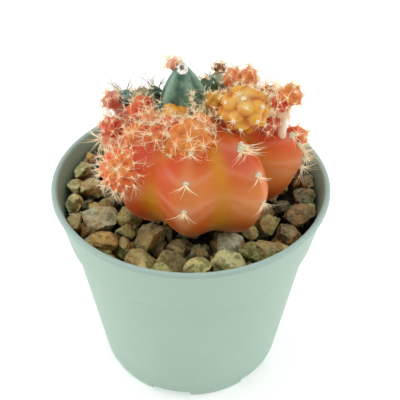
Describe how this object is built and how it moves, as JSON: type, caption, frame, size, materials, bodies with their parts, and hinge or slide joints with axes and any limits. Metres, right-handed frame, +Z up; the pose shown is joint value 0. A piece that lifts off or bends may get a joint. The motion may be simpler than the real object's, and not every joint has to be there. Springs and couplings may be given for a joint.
{
  "type": "potted moon cactus",
  "caption": "Ribbed salmon-orange moon cactus crowded with coloured spiny offsets, standing in gravel in a round tapered plastic nursery pot.",
  "frame": {"origin": "middle of the pot's foot, on the surface that the pot stands on", "axes": "+Z up along the pot's axis; -Y is the side of the plant that faces the camera, +X is to its right"},
  "size_m": [0.085, 0.085, 0.1098],
  "materials": {
    "pot_plastic": "matte pale grey-green moulded plastic",
    "potting_soil": "dark crumbly peat",
    "gravel_stone": "dry rounded gravel, tan to grey",
    "salmon_skin": "waxy salmon to orange flesh",
    "yellow_skin": "waxy golden yellow flesh",
    "orange_skin": "waxy orange flesh",
    "red_skin": "waxy red flesh",
    "pink_skin": "waxy pink flesh",
    "brown_skin": "red-brown flesh",
    "green_skin": "waxy blue-green flesh",
    "dark_green_skin": "dark teal flesh"
  },
  "bodies": {
    "root": {"pot": "pot_plastic", "soil": "potting_soil", "gravel": "gravel_stone", "body": "salmon_skin", "pup_blue_cone": "green_skin", "pup_yellow_large": "yellow_skin", "pup_orange_front": "orange_skin", "pup_spiny_left": "red_skin", "pup_yellow_dome": "yellow_skin", "pup_red_left": "red_skin", "pup_orange_left": "orange_skin", "pup_orange_inner": "orange_skin", "pup_crown_left": "red_skin", "pup_red_brown": "brown_skin", "pup_teal_left": "green_skin", "pup_dark_small": "dark_green_skin", "pup_dark_teal": "dark_green_skin", "pup_pink_back": "pink_skin", "pup_pink_middle": "pink_skin", "pup_pink_right": "pink_skin", "pup_yellow_small": "yellow_skin", "pup_yellow_green": "yellow_skin", "pup_olive": "green_skin", "pup_dark_green": "dark_green_skin", "pup_yellow_top": "yellow_skin", "pup_yellow_right": "yellow_skin", "pup_twin_left": "orange_skin", "pup_twin_right": "orange_skin", "pup_green_stalk": "green_skin", "pup_cream": "brown_skin", "pup_crown_right": "red_skin", "pup_tall_stem": "pink_skin", "pup_tall_orange": "orange_skin", "pup_tall_red": "red_skin", "pup_right": "orange_skin", "pup_cone_tuft": "pink_skin", "pup_brown_head": "brown_skin", "pup_back_low": "red_skin", "pup_back_middle": "orange_skin", "pup_back_dark": "dark_green_skin", "pup_back_orange": "orange_skin", "pup_back_red": "red_skin", "pup_back_yellow": "yellow_skin", "pup_back_pink": "pink_skin"}
  },
  "joints": []
}
